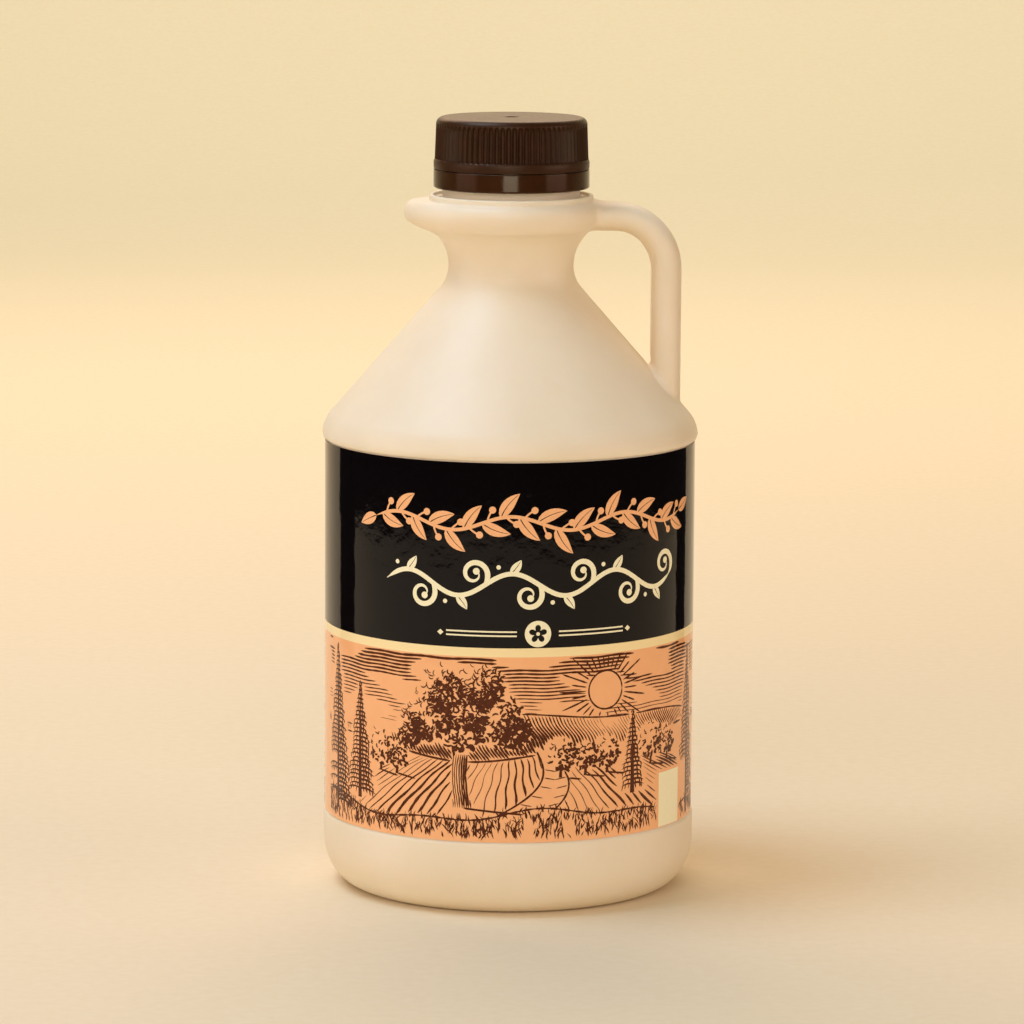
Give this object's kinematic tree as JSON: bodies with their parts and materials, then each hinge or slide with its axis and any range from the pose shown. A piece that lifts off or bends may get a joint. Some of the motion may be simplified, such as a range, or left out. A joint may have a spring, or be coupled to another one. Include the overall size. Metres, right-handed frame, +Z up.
{
  "type": "syrup jug",
  "caption": "Shut cylindrical plastic syrup jug with a conical shoulder, pouring lip, loop handle, ribbed screw cap with tamper band and a wrap-round paper label.",
  "frame": {"origin": "on the jug's axis, at the surface it stands on", "axes": "+Z up along the axis, +X towards the handle, -X towards the pouring lip, -Y out of the label's front"},
  "size_m": [0.1014, 0.1014, 0.2086],
  "materials": {
    "jug": "satin cream polyethylene",
    "cap": "satin dark brown polypropylene",
    "tamper_band": "glossy dark brown polypropylene",
    "label": "glossy printed paper, black over peach"
  },
  "bodies": {
    "root": {"jug": "jug", "cap": "cap", "tamper_band": "tamper_band", "label": "label"}
  },
  "joints": []
}
